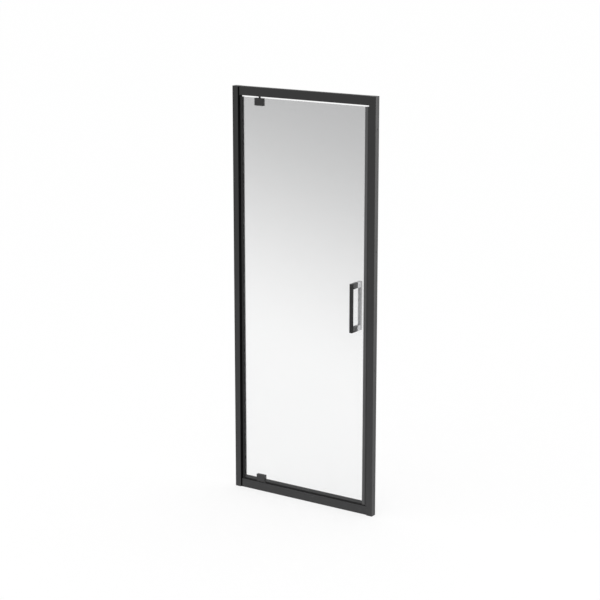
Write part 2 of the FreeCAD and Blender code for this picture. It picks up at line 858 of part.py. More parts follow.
# Handles, one outside and one inside. Local x = 0 and z = 0 are the handle's middle.


def handle(prefix, turn, reach):
    """A bar across two posts, its front at the reach from the glass."""
    half_bar = size.bar_width / 2
    half_length = size.handle_length / 2
    bar_back = glass_half + reach - size.bar_thickness
    bar = new_body(f"{prefix}_handle_bar")
    front = draw(bar, "XZ_Plane", bar_back)
    box_loop(front, -half_bar, -half_length, half_bar, half_length)
    pad(bar, front, size.bar_thickness)
    round_edges(bar, size.bar_round, [{"y": -(bar_back + size.bar_thickness)}])
    put(bar, x=handle_x, z=size.handle_height, turn=turn)

    posts = new_body(f"{prefix}_handle_posts")
    plan = draw(posts, "XZ_Plane", post_foot)
    inner_end = half_length - size.post_height
    box_loop(plan, -half_bar, inner_end, half_bar, half_length)
    box_loop(plan, -half_bar, -half_length, half_bar, -inner_end)
    pad(posts, plan, bar_back - post_foot)
    bores = draw(posts, "XZ_Plane", post_foot)
    for z in (-handle_centres / 2, handle_centres / 2):
        ring(bores, ZERO, z, size.stud_radius + size.seat_gap)
    cut(posts, bores, size.stud_bite + size.end_room, reverse=True)
    grub_holes = draw(posts, "XY_Plane", -half_length)
    ring(grub_holes, ZERO, -(post_foot + size.grub_setback), size.grub_radius + size.seat_gap)
    hole = cut(posts, grub_holes, size.post_height / 2, reverse=True)
    repeat_up(posts, hole, handle_centres, 2)
    put(posts, x=handle_x, z=size.handle_height, turn=turn)


def handle_fixings():
    """Pads, sleeves, studs and grub screws that hold both handles on the glass."""
    half_bar = size.bar_width / 2
    half_post = size.post_height / 2
    heights = [size.handle_height + way * handle_centres / 2 for way in (-1, 1)]
    hole = size.stud_radius + size.run_gap

    pad_body = new_body("handle_pad", is_node=False)
    outline = draw(pad_body, "XZ_Plane")
    box_loop(outline, -half_bar, -half_post, half_bar, half_post)
    ring(outline, ZERO, ZERO, hole)
    pad(pad_body, outline, size.handle_pad)
    faces = (-glass_half, post_foot)
    copies("handle_pads", pad_body, [(handle_x, y, z, UPRIGHT) for y in faces for z in heights])

    sleeve = new_body("handle_sleeve", is_node=False)
    outer = hole + size.sleeve_wall
    spin(sleeve, [(hole, -glass_half), (outer, -glass_half), (outer, glass_half), (hole, glass_half)])
    copies("handle_sleeves", sleeve, [(handle_x, ZERO, z, POINT_OUT) for z in heights])

    stud = new_body("handle_stud", is_node=False)
    end = post_foot + size.stud_bite
    spin(stud, [(ZERO, -end), (size.stud_radius, -end), (size.stud_radius, end), (ZERO, end)])
    copies("handle_studs", stud, [(handle_x, ZERO, z, POINT_OUT) for z in heights])

    grub = new_body("handle_grub_screw", is_node=False)
    radius, length = size.grub_radius, size.grub_length
    spin(grub, [(ZERO, ZERO), (radius, ZERO), (radius, length), (ZERO, length)])
    across = post_foot + size.grub_setback
    seats = [z - size.stud_radius - length for z in heights]
    sides = (-across, across)
    copies("handle_grub_screws", grub, [(handle_x, y, z, UPRIGHT) for y in sides for z in seats])


# Build

wall_channel("wall_channel_left", HINGE_SIDE)
wall_channel("wall_channel_right", STRIKE_SIDE)
jamb("hinge_jamb", HINGE_SIDE)
jamb("strike_jamb", STRIKE_SIDE)
rail("header_rail", size.header_height, header_bottom, UPRIGHT, 1)
rail("sill_rail", size.sill_height, sill_top, TURN_OVER, -1)
top_cap("top_cap_left", HINGE_SIDE)
top_cap("top_cap_right", STRIKE_SIDE)
corner_screws()
lock_screws()
pivot_insert("header_pivot_insert", header_bottom, UPRIGHT)
pivot_insert("sill_pivot_insert", sill_top, TURN_OVER)
pivot_bush("header_pivot_bush", header_bottom, UPRIGHT)
pivot_bush("sill_pivot_bush", sill_top, TURN_OVER)
insert_screws()
jamb_seal_start = half_opening - size.jamb_seal
doorway = header_bottom - sill_top
magnet_strip("jamb_magnet_seal", "jamb_magnet", jamb_seal_start, size.jamb_seal, sill_top, doorway)

glass_panel()
edges = (
    ("hinge", HINGE_SIDE, leaf_left, size.hinge_edge_width),
    ("strike", STRIKE_SIDE, leaf_right, size.strike_edge_width),
)
for prefix, side, x, width in edges:
    edge_profile(f"{prefix}_edge_profile", side, x, width)
    glazing_gasket(f"{prefix}_glazing_gasket", side, x, width)
    end_caps(prefix, side, x, width)
hinge_side_seal()
magnet_strip("leaf_magnet_seal", "leaf_magnet", leaf_right, size.leaf_seal, profile_bottom, profile_height)
drip_break = size.block_width / 2 + size.drip_end_gap
drip_seal("drip_seal_short", leaf_left + size.hinge_edge_width, pivot_x - drip_break)
drip_seal("drip_seal_long", pivot_x + drip_break, leaf_right - size.strike_edge_width)
clamp_screw = socket_screw()
pivot_set("top_pivot", size.head_gap, block_top, UPRIGHT, 1, clamp_screw)
pivot_set("bottom_pivot", size.foot_gap, block_bottom, TURN_OVER, -1, clamp_screw)
handle("outer", UPRIGHT, size.outer_reach)
handle("inner", TURN_ROUND, size.inner_reach)
handle_fixings()
doc.recompute()

# Test and write

for item in doc.Objects:
    if "Invalid" in item.State or "Error" in item.State:
        raise RuntimeError(f"{item.Label} failed: {item.State}")
for node in nodes:
    if node.Shape.isNull() or not node.Shape.isValid() or not node.Shape.Solids:
        raise RuntimeError(f"{node.Label} has no valid solid")

os.makedirs("parts", exist_ok=True)
for node in nodes:
    node.Shape.exportStep(os.path.join("parts", f"{node.Label}.step"))
print(len(nodes), "nodes", sum(len(node.Shape.Solids) for node in nodes), "solids")
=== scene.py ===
import json
import math

import bmesh
import bpy
import numpy as np
from bpy.props import FloatProperty, FloatVectorProperty, PointerProperty
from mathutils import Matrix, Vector


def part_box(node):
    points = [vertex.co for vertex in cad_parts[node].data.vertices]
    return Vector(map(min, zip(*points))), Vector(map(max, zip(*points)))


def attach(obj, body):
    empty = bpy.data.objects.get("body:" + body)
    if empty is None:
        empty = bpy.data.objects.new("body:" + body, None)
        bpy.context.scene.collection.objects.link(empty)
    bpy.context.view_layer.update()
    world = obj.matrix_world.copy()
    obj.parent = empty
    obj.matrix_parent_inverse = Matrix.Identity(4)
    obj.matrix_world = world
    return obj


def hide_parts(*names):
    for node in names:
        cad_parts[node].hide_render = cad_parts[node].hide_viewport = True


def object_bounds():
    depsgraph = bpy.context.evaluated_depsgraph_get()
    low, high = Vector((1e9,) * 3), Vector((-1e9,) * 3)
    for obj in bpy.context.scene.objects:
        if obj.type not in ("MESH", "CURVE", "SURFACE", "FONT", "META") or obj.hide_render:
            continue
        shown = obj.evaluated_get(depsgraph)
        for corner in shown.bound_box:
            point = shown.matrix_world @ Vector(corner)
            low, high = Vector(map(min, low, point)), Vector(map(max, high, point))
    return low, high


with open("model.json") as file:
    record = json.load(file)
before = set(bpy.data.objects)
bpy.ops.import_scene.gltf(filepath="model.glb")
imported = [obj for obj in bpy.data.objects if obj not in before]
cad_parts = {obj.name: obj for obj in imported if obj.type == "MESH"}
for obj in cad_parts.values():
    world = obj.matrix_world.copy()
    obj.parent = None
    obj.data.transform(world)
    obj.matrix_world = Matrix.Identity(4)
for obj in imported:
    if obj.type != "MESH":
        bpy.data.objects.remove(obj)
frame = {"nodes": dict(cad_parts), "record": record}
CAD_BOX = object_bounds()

bl_info = {
    "name": "Hinged shower door",
    "version": (1, 0, 0),
    "blender": (4, 5, 0),
    "location": "3D View > Sidebar > Shower door",
    "description": "Seals, small fittings, finishes and stage for a framed pivot shower door",
    "category": "Add Mesh",
}

MM = 0.001
SAME_POINT = 1e-7
SHARP_EDGE = math.radians(35)
CORNER_STEPS = 6
CURVE_STEPS = 10
ROUND_STEPS = 48
KEY_SIDES = 6
LOCK_SCREWS = 3
PAN_FLAT = 0.7
TIP_SHARE = 0.5
CHAMFER_SHARE = 0.25
FLOOR_DROP = 0.2 * MM
WHITE = (1.0, 1.0, 1.0)
FINISH_NAME = "{}_finish"


def number_property(name, description, default, **options):
    """A number that the user can change."""
    return FloatProperty(name=name, description=description, default=default, **options)


def size_property(name, description, millimetres):
    """A length that the user can change, given in millimetres and kept in metres."""
    return number_property(name, description, millimetres * MM, min=0.0, precision=5, unit="LENGTH")


def share_property(name, description, default):
    """A number from 0 to 1 that the user can change."""
    return number_property(name, description, default, min=0.0, max=1.0, subtype="FACTOR")


def power_property(name, description, watts):
    """A lamp's power that the user can change."""
    return number_property(name, description, watts, min=0.0, unit="POWER")


def vector_property(name, description, default, **options):
    """Three numbers that the user can change together."""
    return FloatVectorProperty(
        name=name, description=description, default=default, size=len(default), **options
    )


def colour_property(name, description, default):
    """A colour that the user can change."""
    return vector_property(name, description, default, min=0.0, max=1.0, subtype="COLOR")


def place_property(name, description, metres):
    """A place that the user can change."""
    return vector_property(name, description, metres, unit="LENGTH")


class SealSizes(bpy.types.PropertyGroup):
    """Sizes of the soft strips."""

    skin: size_property("Skin", "Wall of the hollow strips", 0.6)
    corner: size_property("Corner", "Rounding of the closing strips", 0.8)
    seat: size_property("Seat", "Gap between a strip and what it sits on", 0.05)
    skirt: size_property("Skirt", "Thickness of the drip seal beside the glass", 2.2)
    clip_floor: size_property("Clip floor", "Thickness of the drip seal below the glass", 1.2)
    lip_step: size_property("Lip step", "How far a drip lip stands back from the skirt", 1.4)
    lip_root: size_property("Lip root", "Thickness of a drip lip where it leaves the seal", 1.2)
    lip_tip: size_property("Lip tip", "Thickness of a drip lip at its edge", 0.5)
    lip_sweep: share_property("Lip sweep", "How far down a drip lip hangs before it flares", 0.9)
    bead: size_property("Bead", "How far the glazing gasket stands out of its profile", 0.7)


class FittingSizes(bpy.types.PropertyGroup):
    """Sizes of the small fittings."""

    cover_radius: size_property("Cover radius", "Radius of the screw covers", 6.0)
    cover_wall: size_property("Cover wall", "Wall of the screw covers", 0.9)
    cover_rim: size_property("Cover rim", "Straight rim below a cover's dome", 1.8)
    grub_length: size_property("Grub length", "Length of the grub screws", 6.0)
    key_radius: size_property("Key radius", "Radius to the corners of a grub screw's key", 1.15)
    key_depth: size_property("Key depth", "Depth of a grub screw's key hole", 2.2)
    pan_height: size_property("Pan height", "Height of a pan screw's head", 1.6)
    cross_reach: size_property("Cross reach", "Half the length of a screw's cross recess", 1.9)
    cross_width: size_property("Cross width", "Half the width of a cross recess", 0.42)
    cross_depth: size_property("Cross depth", "Depth of a cross recess", 1.1)
    shank: size_property("Shank", "Radius of the pivot inserts' screws", 1.75)
    pad_bulge: size_property("Pad bulge", "How far the rim of a handle pad is rounded", 0.4)
    pad_hole: size_property("Pad hole", "Radius of the hole in a handle pad", 3.05)
    pad_height: size_property("Pad height", "Height of a handle pad", 26.0)
    pad_seat: size_property("Pad seat", "Gap between a pad and what it sits on", 0.02)
    notch_half: size_property("Notch half width", "Half the width of the notch for a pivot", 17.0)
    notch_depth: size_property("Notch depth", "Depth of the notch for a pivot", 24.0)


class CoatLook(bpy.types.PropertyGroup):
    """Finish of the coated metal."""

    frame_colour: colour_property(
        "Frame colour", "Powder coat of the frame and pivots", (0.0095, 0.0095, 0.0099)
    )
    # Painted shade: the hinge jamb is coloured near black, with little gloss, standing in for the
    # shade in the groove between the wall channel and the leaf.
    jamb_painted_shade_colour: colour_property(
        "Hinge jamb colour", "Coat of the hinge jamb", (0.002, 0.002, 0.002)
    )
    leaf_colour: colour_property(
        "Leaf colour", "Powder coat of the hinge profile", (0.0045, 0.0045, 0.0047)
    )
    # Painted light: the closing profile's coat is painted much lighter than the frame's, standing
    # in for the side light that catches it.
    strike_painted_light_colour: colour_property(
        "Strike colour", "Coat of the closing profile", (0.060, 0.060, 0.061)
    )
    handle_colour: colour_property(
        "Handle colour", "Coat of the outer handle's bar", (0.006, 0.006, 0.0063)
    )
    # Painted light: the handle posts are painted lighter than the bar, standing in for the side
    # light on them.
    post_painted_light_colour: colour_property(
        "Post colour", "Coat of the outer handle's posts", (0.052, 0.052, 0.053)
    )
    # Painted light: the frame and pivot coats are painted lighter further down, standing in for
    # light from the floor.
    painted_light_lift: number_property(
        "Haze", "Share by which the frame lightens for each metre further down", 1.35
    )
    grain: size_property("Grain", "Width of the powder coat's grains", 0.7)
    roughness: share_property("Roughness", "Roughness of the powder coat", 0.48)


class GlassLook(bpy.types.PropertyGroup):
    """Finish of the glass."""

    # Painted reflection: above the foot tint, the glass is painted darker towards its top and its
    # closing edge, standing in for the reflection of its surroundings.
    foot_tint: colour_property(
        "Foot tint", "Tint of the lower part of the glass", (0.954, 0.957, 0.957)
    )
    crown_painted_reflection: colour_property(
        "Crown tint", "Tint that the glass nears at its top", (0.473, 0.475, 0.478)
    )
    reflection_start: number_property(
        "Tint start", "Share of the height at which the deeper tint comes in", 0.31
    )
    reflection_end: number_property("Tint end", "Share of the height at which it would be full", 1.14)
    reflection_lean: number_property(
        "Tint lean", "How far the tint sinks for each metre towards the closing edge", 0.21
    )
    clearness: share_property(
        "Clearness", "Share of light that goes straight through each face", 0.93
    )


class StageLook(bpy.types.PropertyGroup):
    """Camera, light and floor."""

    camera_place: place_property(
        "Camera place", "Where the camera stands", (4.5321, -6.7304, 2.9352)
    )
    camera_turn: number_property(
        "Camera turn", "Turn of the camera from straight in front", math.radians(34.094),
        subtype="ANGLE",
    )
    camera_drop: number_property(
        "Camera drop", "Tilt of the camera below the horizon", math.radians(13.39),
        subtype="ANGLE",
    )
    camera_lens: number_property("Camera lens", "Focal length", 105.13, unit="CAMERA")
    sky: number_property("Sky", "Light from all round", 1.0, min=0.0)
    key_lamp: power_property("Key lamp", "Power of the lamp above", 15.0)
    key_width: size_property("Key lamp width", "Width of the lamp above", 2500.0)
    key_place: place_property("Key lamp place", "Where the lamp above hangs", (1.5, -3.0, 4.5))
    side_lamp: power_property("Side lamp", "Power of the lamp on the right", 90.0)
    side_width: size_property("Side lamp width", "Width of the lamp on the right", 3000.0)
    side_place: place_property(
        "Side lamp place", "Where the lamp on the right stands", (4.2, 3.4, 1.3)
    )
    shadow: share_property("Shadow", "How much of the floor's look is shaded by the object", 0.25)
    floor_colour: colour_property("Floor colour", "Colour of the floor", (0.985, 0.985, 0.985))
    floor_size: size_property("Floor size", "Width of the floor", 120000.0)


# Shapes


def grid_faces(rows, columns, wrap_rows):
    """Four-sided faces of a grid whose columns close up: (j, i), (j, i+1), (j+1, i+1), (j+1, i)."""
    j = np.arange(rows if wrap_rows else rows - 1)[:, None]
    i = np.arange(columns)[None, :]
    after_j = (j + 1) % rows
    after_i = (i + 1) % columns
    row, after_row = j * columns, after_j * columns
    corners = [row + i, row + after_i, after_row + after_i, after_row + i]
    return np.stack(np.broadcast_arrays(*corners), axis=-1).reshape(-1, 4)


def place(points, x, y, z, order="xyz"):
    """Copies of a grid, one for each place. Local axes go to the row axes in the given order."""
    axes = [order.index(axis) for axis in "xyz"]
    places = np.stack(np.broadcast_arrays(x, y, z), axis=-1).reshape(-1, 1, 1, 3)
    return places + points[None][..., axes]


def finish(slot):
    """The material made for a slot."""
    return bpy.data.materials[FINISH_NAME.format(slot)]


def make_piece(name, grids, body, slot, nodes, wrap_rows=False, capped=False):
    """A mesh of equal grids (copy, row, column, axis).
    It rides on a body and stands for CAD nodes."""
    copies, rows, columns, _ = grids.shape
    faces = grid_faces(rows, columns, wrap_rows)
    starts = np.arange(copies)[:, None, None] * rows * columns
    polygons = (faces[None] + starts).reshape(-1, 4).tolist()
    if capped:
        ends = np.stack([np.arange(columns)[::-1], np.arange(columns) + (rows - 1) * columns])
        polygons += (ends[None] + starts).reshape(-1, columns).tolist()
    mesh = bpy.data.meshes.new(name)
    mesh.from_pydata(grids.reshape(-1, 3).tolist(), [], polygons)
    shell = bmesh.new()
    shell.from_mesh(mesh)
    bmesh.ops.remove_doubles(shell, verts=shell.verts, dist=SAME_POINT)
    bmesh.ops.recalc_face_normals(shell, faces=shell.faces)
    shell.to_mesh(mesh)
    shell.free()
    mesh.polygons.foreach_set("use_smooth", np.ones(len(mesh.polygons), dtype=bool))
    mesh.set_sharp_from_angle(angle=SHARP_EDGE)
    mesh.materials.append(finish(slot))
    piece = bpy.data.objects.new(name, mesh)
    bpy.context.scene.collection.objects.link(piece)
    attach(piece, body)
    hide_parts(*nodes)


def rounded_box(half_a, half_b, radius):
    """Rectangle with quarter-round corners.
    Corner k runs from k to k + 1 quarter turns about its own centre, radius in from both sides."""
    quarter = np.arange(4)[:, None]
    angle = (quarter + np.linspace(0, 1, CORNER_STEPS)[None, :]) * math.pi / 2
    sign_a = np.array([1, -1, -1, 1])[:, None]
    sign_b = np.array([1, 1, -1, -1])[:, None]
    a = sign_a * (half_a - radius) + radius * np.cos(angle)
    b = sign_b * (half_b - radius) + radius * np.sin(angle)
    return np.stack([a, b], axis=-1).reshape(-1, 2)


def bent_line(start, control, end):
    """Quadratic curve: (1-t)^2 start + 2t(1-t) control + t^2 end."""
    t = np.linspace(0, 1, CURVE_STEPS)[:, None]
    start, control, end = (np.array(point) for point in (start, control, end))
    return (1 - t) ** 2 * start + 2 * t * (1 - t) * control + t**2 * end


def arc(centre, radius, first, last):
    """Points at equal turns from the first angle to the last, at the radius from the centre."""
    angle = np.linspace(first, last, CORNER_STEPS)
    return np.array(centre) + radius * np.stack([np.cos(angle), np.sin(angle)], axis=-1)


def carried(section, start, end, order):
    """A section carried straight from start to end: local x and y hold the section, z the way."""
    way = np.array([start, end])[:, None]
    rows = np.broadcast_to(section[None], (2, *section.shape))
    points = np.concatenate([rows, np.broadcast_to(way[..., None], (2, len(section), 1))], axis=-1)
    return place(points, 0.0, 0.0, 0.0, order)


def hollow_carried(outside, inside, start, end, order):
    """A hollow strip: the outer section there and the inner one back, closed round both ends."""
    out = carried(outside, start, end, order)
    back = carried(inside, end, start, order)
    return np.concatenate([out, back], axis=1)


def round_outline(angle):
    """Radius 1 at every angle."""
    return np.ones_like(angle)


def key_outline(angle):
    """Hexagon with corners at radius 1: cos(30) over cos of the angle from the nearest flat."""
    side = 2 * math.pi / KEY_SIDES
    return math.cos(side / 2) / np.cos(np.mod(angle, side) - side / 2)


def cross_outline(slimness):
    """Cross with arms of length 1 and the given half width: the further of two crossed strips."""

    def outline(angle):
        cosine = np.maximum(np.abs(np.cos(angle)), SAME_POINT)
        sine = np.maximum(np.abs(np.sin(angle)), SAME_POINT)
        along_x = np.minimum(1 / cosine, slimness / sine)
        along_y = np.minimum(1 / sine, slimness / cosine)
        return np.maximum(along_x, along_y)

    return outline


def turned(rings):
    """A turned piece: ring k is at height z with radius r times its outline at each angle."""
    angle = np.linspace(0, 2 * math.pi, ROUND_STEPS, endpoint=False)
    radii = np.stack([radius * outline(angle) for _, radius, outline in rings])
    heights = np.array([height for height, _, _ in rings])[:, None]
    heights = np.broadcast_to(heights, radii.shape)
    return np.stack([radii * np.cos(angle), radii * np.sin(angle), heights], axis=-1)


# Finishes

# Numbers of the colour sockets of a Mix node
MIX_FIRST, MIX_SECOND, MIX_RESULT = 6, 7, 2

# Width in grains, and detail, of each noise in a coat
NOISES = {"fine": (1.0, 3.0), "peel": (7.0, 1.0), "slow": (220.0, 2.0)}
NOISE_MEAN = 0.5
FINE_TONE = 0.5
PEEL_HEIGHT = 0.8
SLOW_ROUGHNESS = 0.14
# Height at which the painted light lift leaves the coat's colour unchanged
PAINTED_LIGHT_MIDDLE = 1.0
LINE_DETAIL = 4.0
LINE_ROUGHNESS = 0.2
RELIEF_STRENGTH = 0.35

# Lines to the metre across a soft strip, along it, round a turned bar and along it
STRIP_ACROSS, STRIP_ALONG = 1 / (0.5 * MM), 4.0
BAR_ROUND, BAR_ALONG = 60.0, 1 / (0.4 * MM)
UPRIGHT_LINES = (STRIP_ACROSS, STRIP_ACROSS, STRIP_ALONG)
LYING_LINES = (STRIP_ALONG, STRIP_ACROSS, STRIP_ACROSS)
TURNED_LINES = (BAR_ROUND, BAR_ROUND, BAR_ALONG)

METAL = {"Metallic": 1.0}
NON_METAL = {"Metallic": 0.0, "IOR": 1.5}
PLASTIC = {"Metallic": 0.0, "IOR": 1.46}
CLEAR_GLASS = {**NON_METAL, "Roughness": 0.0}

COAT_RELIEF = 0.05 * MM
PLASTIC_RELIEF = 0.02 * MM
CAST_RELIEF = 0.04 * MM
RUBBER_RELIEF = 0.02 * MM
STEEL_RELIEF = 0.01 * MM

COAT_UNEVENNESS = 0.35
PLASTIC_UNEVENNESS = 0.2
CAST_UNEVENNESS = 0.3
RUBBER_UNEVENNESS = 0.3
STEEL_UNEVENNESS = 0.25

# The hinge jamb's low gloss is part of its painted shade.
PLAIN_GLOSS, JAMB_GLOSS, LEAF_GLOSS, HANDLE_GLOSS = 0.5, 0.12, 0.3, 0.38
RUBBER_GLOSS = {"seal": 0.25, "closing_seal": 0.5, "drip_seal": 0.2, "magnet": 0.5}
JAMB_ROUGHNESS = 0.75
FITTING_ROUGHNESS = 0.85
FITTING_GRAIN = 0.7


def grey(tone, blue=None):
    """An opaque grey, with a blue part of its own where one is given."""
    return (tone, tone, tone if blue is None else blue, 1.0)


# Inputs of the grain group for plastics and castings, and of the streak group for the others
PLASTICS = {
    "black_plastic": {"Colour": grey(0.014), "Roughness": 0.5, "Grain": 0.5 * MM},
    "bush_plastic": {"Colour": grey(0.07), "Roughness": 0.45, "Grain": 0.4 * MM},
}
CASTINGS = {
    "insert_metal": {"Colour": grey(0.55, 0.56), "Roughness": 0.42, "Grain": 0.8 * MM},
}
RUBBERS = {
    "seal": {"Colour": grey(0.013), "Roughness": 0.62, "Lines": UPRIGHT_LINES},
    "closing_seal": {"Colour": grey(0.018), "Roughness": 0.5, "Lines": UPRIGHT_LINES},
    "drip_seal": {"Colour": grey(0.060), "Roughness": 0.55, "Lines": LYING_LINES},
    "magnet": {"Colour": grey(0.03), "Roughness": 0.7, "Lines": UPRIGHT_LINES},
}
STEELS = {
    "steel": {"Colour": grey(0.58, 0.5916), "Roughness": 0.28},
    "dark_steel": {"Colour": grey(0.02, 0.0204), "Roughness": 0.38},
    "inner_handle_metal": {"Colour": grey(0.45, 0.459), "Roughness": 0.38},
}


def add_node(tree, kind, **values):
    """A shader node with its settings, and its inputs by name."""
    node = tree.nodes.new(kind)
    for name, value in values.items():
        if name in node.inputs:
            node.inputs[name].default_value = value
        else:
            setattr(node, name, value)
    return node


def add_math(tree, operation, first, second):
    """The outcome of an operation on two numbers or sockets."""
    node = add_node(tree, "ShaderNodeMath", operation=operation)
    for socket, value in zip(node.inputs, (first, second)):
        if isinstance(value, bpy.types.NodeSocket):
            tree.links.new(value, socket)
        else:
            socket.default_value = value
    return node.outputs["Value"]


def texture_group(name, inputs):
    """An empty node group with a colour, a roughness and a height as its outputs."""
    tree = bpy.data.node_groups.new(name, "ShaderNodeTree")
    for label, kind in inputs.items():
        tree.interface.new_socket(name=label, in_out="INPUT", socket_type=kind)
    for label, kind in (("Colour", "Color"), ("Roughness", "Float"), ("Height", "Float")):
        tree.interface.new_socket(name=label, in_out="OUTPUT", socket_type=f"NodeSocket{kind}")
    return tree, tree.nodes.new("NodeGroupInput"), tree.nodes.new("NodeGroupOutput")


def scale_colour(tree, colour, factor):
    """A colour times a factor."""
    node = add_node(tree, "ShaderNodeVectorMath", operation="SCALE")
    tree.links.new(colour, node.inputs[0])
    tree.links.new(factor, node.inputs["Scale"])
    return node.outputs["Vector"]


def vary_colour(tree, given, colour, amount, result):
    """Lightens and darkens a colour: colour times 1 + unevenness * (amount - NOISE_MEAN)."""
    centred = add_math(tree, "SUBTRACT", amount, NOISE_MEAN)
    change = add_math(tree, "MULTIPLY", centred, given.outputs["Unevenness"])
    factor = add_math(tree, "ADD", change, 1.0)
    tree.links.new(scale_colour(tree, colour, factor), result.inputs["Colour"])


def vary_roughness(tree, given, amount, spread, result):
    """Adds spread * (amount - NOISE_MEAN) to the given roughness."""
    centred = add_math(tree, "SUBTRACT", amount, NOISE_MEAN)
    change = add_math(tree, "MULTIPLY", centred, spread)
    roughness = add_math(tree, "ADD", given.outputs["Roughness"], change)
    tree.links.new(roughness, result.inputs["Roughness"])


def grain_group():
    """Fine grains over a gentle orange peel, with a slow change of tone, for coats and mouldings.
    The colour is painted lighter lower down, standing in for light from the floor: it is multiplied
    by one plus the painted lift, to the power of the metres below the middle height."""
    floats = dict.fromkeys(("Roughness", "Grain", "Unevenness", "Haze"), "NodeSocketFloat")
    tree, given, result = texture_group("Grain", {"Colour": "NodeSocketColor", **floats})
    where = tree.nodes.new("ShaderNodeTexCoord").outputs["Object"]
    noises = {}
    for label, (grains, detail) in NOISES.items():
        noise = add_node(tree, "ShaderNodeTexNoise", Detail=detail)
        width = add_math(tree, "MULTIPLY", given.outputs["Grain"], grains)
        tree.links.new(add_math(tree, "DIVIDE", 1.0, width), noise.inputs["Scale"])
        tree.links.new(where, noise.inputs["Vector"])
        noises[label] = noise.outputs["Fac"]
    fine = add_math(tree, "MULTIPLY", noises["fine"], FINE_TONE)
    tone = add_math(tree, "ADD", noises["slow"], fine)
    tone = add_math(tree, "SUBTRACT", tone, FINE_TONE * NOISE_MEAN)
    split = tree.nodes.new("ShaderNodeSeparateXYZ")
    tree.links.new(where, split.inputs["Vector"])
    # Painted light: the colour is lifted below the middle height and lowered above it.
    depth = add_math(tree, "SUBTRACT", PAINTED_LIGHT_MIDDLE, split.outputs["Z"])
    lift = add_math(tree, "POWER", add_math(tree, "ADD", given.outputs["Haze"], 1.0), depth)
    painted_light_colour = scale_colour(tree, given.outputs["Colour"], lift)
    vary_colour(tree, given, painted_light_colour, tone, result)
    vary_roughness(tree, given, noises["slow"], SLOW_ROUGHNESS, result)
    peel = add_math(tree, "MULTIPLY", noises["peel"], PEEL_HEIGHT)
    tree.links.new(add_math(tree, "ADD", noises["fine"], peel), result.inputs["Height"])
    return tree


def streak_group():
    """Fine lines along one way, for drawn, turned and extruded surfaces."""
    floats = dict.fromkeys(("Roughness", "Unevenness"), "NodeSocketFloat")
    sockets = {"Colour": "NodeSocketColor", "Lines": "NodeSocketVector", **floats}
    tree, given, result = texture_group("Streaks", sockets)
    where = tree.nodes.new("ShaderNodeTexCoord").outputs["Object"]
    stretch = add_node(tree, "ShaderNodeVectorMath", operation="MULTIPLY")
    tree.links.new(where, stretch.inputs[0])
    tree.links.new(given.outputs["Lines"], stretch.inputs[1])
    noise = add_node(tree, "ShaderNodeTexNoise", Scale=1.0, Detail=LINE_DETAIL)
    tree.links.new(stretch.outputs["Vector"], noise.inputs["Vector"])
    line = noise.outputs["Fac"]
    vary_colour(tree, given, given.outputs["Colour"], line, result)
    vary_roughness(tree, given, line, LINE_ROUGHNESS, result)
    tree.links.new(line, result.inputs["Height"])
    return tree


def new_material(slot):
    """A material named for its slot, with its tree, its shader and its output."""
    material = bpy.data.materials.new(FINISH_NAME.format(slot))
    material.use_nodes = True
    tree = material.node_tree
    tree.nodes.clear()
    shader = tree.nodes.new("ShaderNodeBsdfPrincipled")
    output = tree.nodes.new("ShaderNodeOutputMaterial")
    tree.links.new(shader.outputs["BSDF"], output.inputs["Surface"])
    return tree, shader, output


def set_inputs(node, values):
    """Sets a node's inputs by name."""
    for name, value in values.items():
        node.inputs[name].default_value = value


def mix_shaders(tree, share, first, second, output):
    """Shows the first shader where the share is 0 and the second where it is 1."""
    choice = tree.nodes.new("ShaderNodeMixShader")
    tree.links.new(share, choice.inputs["Fac"])
    tree.links.new(first, choice.inputs[1])
    tree.links.new(second, choice.inputs[2])
    tree.links.new(choice.outputs["Shader"], output.inputs["Surface"])


def textured_material(slot, group, relief, shader_values, **values):
    """A material whose colour, roughness and relief come from a texture group."""
    tree, shader, _ = new_material(slot)
    set_inputs(shader, shader_values)
    texture = tree.nodes.new("ShaderNodeGroup")
    texture.node_tree = group
    set_inputs(texture, values)
    tree.links.new(texture.outputs["Colour"], shader.inputs["Base Color"])
    tree.links.new(texture.outputs["Roughness"], shader.inputs["Roughness"])
    bump = add_node(tree, "ShaderNodeBump", Strength=RELIEF_STRENGTH, Distance=relief)
    tree.links.new(texture.outputs["Height"], bump.inputs["Height"])
    tree.links.new(bump.outputs["Normal"], shader.inputs["Normal"])


def coats(look, grain):
    """Powder coats of the frame, the leaf's profiles and the handles."""
    plain = look.roughness, look.grain
    smooth = look.roughness * FITTING_ROUGHNESS, look.grain * FITTING_GRAIN
    dull = JAMB_ROUGHNESS, look.grain
    finishes = (
        # Painted light: the frame coat is painted lighter towards the floor.
        ("frame_coat", look.frame_colour, plain, PLAIN_GLOSS, look.painted_light_lift),
        # Painted shade: the near-black, low-gloss hinge jamb.
        ("jamb_coat", look.jamb_painted_shade_colour, dull, JAMB_GLOSS, 0.0),
        ("leaf_coat", look.leaf_colour, plain, LEAF_GLOSS, 0.0),
        # Painted light: the lighter closing profile.
        ("strike_coat", look.strike_painted_light_colour, plain, PLAIN_GLOSS, 0.0),
        # Painted light: the pivot coat is painted lighter towards the floor.
        ("pivot_coat", look.frame_colour, smooth, PLAIN_GLOSS, look.painted_light_lift),
        ("handle_coat", look.handle_colour, smooth, HANDLE_GLOSS, 0.0),
        # Painted light: the lighter handle posts.
        ("post_coat", look.post_painted_light_colour, smooth, PLAIN_GLOSS, 0.0),
    )
    for slot, colour, (roughness, width), gloss, painted_light_lift in finishes:
        textured_material(
            slot, grain, COAT_RELIEF, {**NON_METAL, "Specular IOR Level": gloss},
            Colour=(*colour, 1.0), Roughness=roughness, Grain=width, Haze=painted_light_lift,
            Unevenness=COAT_UNEVENNESS,
        )


